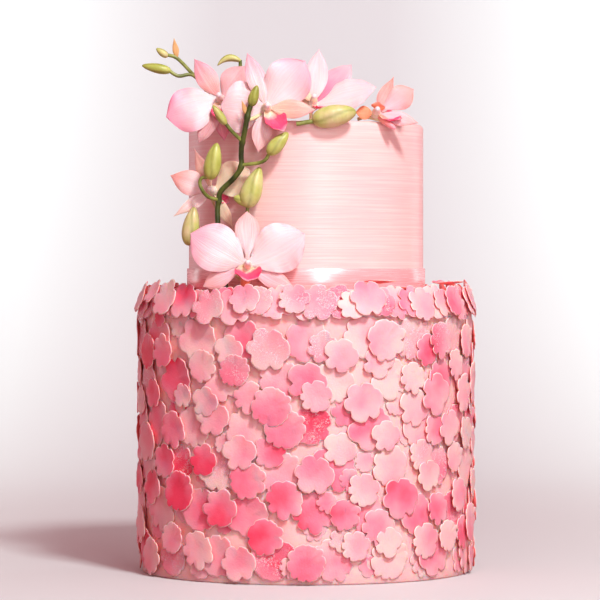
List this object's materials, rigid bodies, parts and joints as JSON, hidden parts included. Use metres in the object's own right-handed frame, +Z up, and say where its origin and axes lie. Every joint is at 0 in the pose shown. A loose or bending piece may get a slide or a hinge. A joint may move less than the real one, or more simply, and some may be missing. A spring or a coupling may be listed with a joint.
{
  "type": "tiered wedding cake",
  "caption": "Tiered wedding cake: a tall lower tier covered in pink sugar blossoms, a pearl upper tier with a satin ribbon, and a cascade of orchids and buds.",
  "frame": {"origin": "centre of the lower tier's flat base", "axes": "+Z up through the middle of both tiers, -Y towards the front, where the orchids hang, +X to the viewer's right"},
  "size_m": [0.2219, 0.2224, 0.3418],
  "materials": {
    "sugar_blossom": "matte sugar paste",
    "pearl_icing": "pearl lustre icing",
    "satin_ribbon": "satin",
    "orchid_petal": "soft petal",
    "orchid_bud": "waxy"
  },
  "bodies": {
    "root": {"lower_tier": "sugar_blossom", "upper_tier": "pearl_icing", "ribbon": "satin_ribbon", "orchid_low_front": "orchid_petal", "orchid_top_left": "orchid_petal", "orchid_top_middle": "orchid_petal", "orchid_top_right": "orchid_petal", "orchid_far_right": "orchid_petal", "orchid_side": "orchid_petal", "bud_spray": "orchid_bud", "bud_sprig_left": "orchid_bud", "bud_top": "orchid_bud", "bud_low_left": "orchid_bud", "bud_on_edge": "orchid_bud"}
  },
  "joints": []
}
